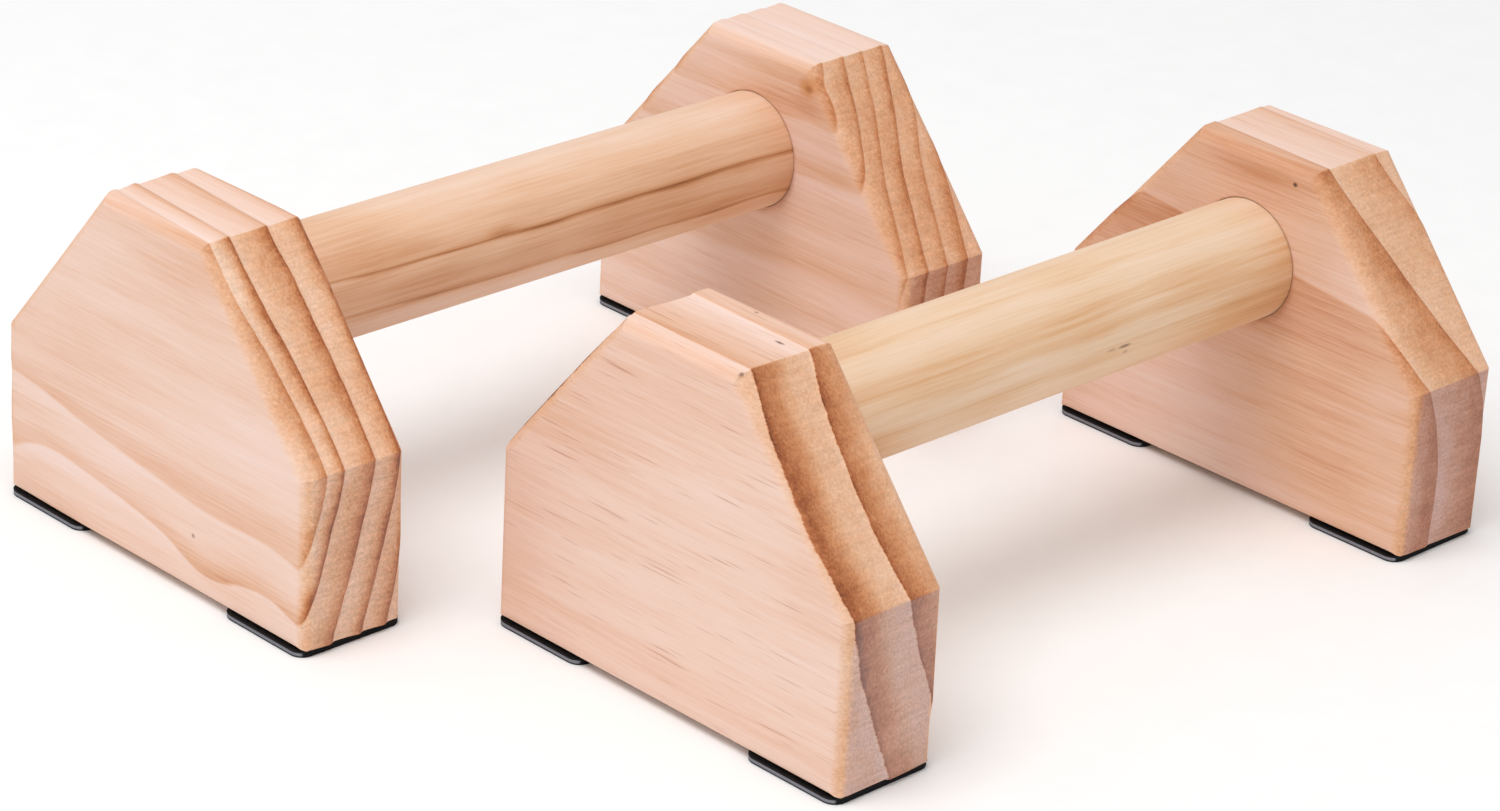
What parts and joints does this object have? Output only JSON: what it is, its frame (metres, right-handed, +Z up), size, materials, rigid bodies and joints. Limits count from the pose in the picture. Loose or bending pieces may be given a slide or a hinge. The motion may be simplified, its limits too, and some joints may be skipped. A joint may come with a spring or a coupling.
{
  "type": "wooden parallel bars",
  "caption": "Low wooden parallel bars for push-ups and handstands: round handle bars held between solid bevelled end blocks on rubber anti-slip pads.",
  "frame": {"origin": "on the floor under the middle of the pair, at the bottom centre of the overall box", "axes": "+X along the handle bars, +Y across the bars from stand b to stand a, +Z up"},
  "size_m": [0.3536, 0.314, 0.1185],
  "materials": {
    "end_block_pine": "smooth sanded and clear sealed",
    "stand_a_bar_wood": "smooth sanded and clear sealed, tan",
    "stand_b_bar_wood": "smooth sanded and clear sealed, pale",
    "rubber_pad": "matt black",
    "adhesive_film": "dark grey film"
  },
  "bodies": {
    "stand_a": {"stand_a_handle_bar": "stand_a_bar_wood", "stand_a_left_end_block": "end_block_pine", "stand_a_left_front_rubber_pad": "rubber_pad", "stand_a_left_front_adhesive": "adhesive_film", "stand_a_left_back_rubber_pad": "rubber_pad", "stand_a_left_back_adhesive": "adhesive_film", "stand_a_right_end_block": "end_block_pine", "stand_a_right_front_rubber_pad": "rubber_pad", "stand_a_right_front_adhesive": "adhesive_film", "stand_a_right_back_rubber_pad": "rubber_pad", "stand_a_right_back_adhesive": "adhesive_film"},
    "stand_b": {"stand_b_handle_bar": "stand_b_bar_wood", "stand_b_left_end_block": "end_block_pine", "stand_b_left_front_rubber_pad": "rubber_pad", "stand_b_left_front_adhesive": "adhesive_film", "stand_b_left_back_rubber_pad": "rubber_pad", "stand_b_left_back_adhesive": "adhesive_film", "stand_b_right_end_block": "end_block_pine", "stand_b_right_front_rubber_pad": "rubber_pad", "stand_b_right_front_adhesive": "adhesive_film", "stand_b_right_back_rubber_pad": "rubber_pad", "stand_b_right_back_adhesive": "adhesive_film"}
  },
  "joints": [
    {"name": "stand_spacing", "type": "slide", "parent": "stand_a", "child": "stand_b", "axis": [0, -1, 0], "range_m": [-0.012, 0.4]}
  ]
}
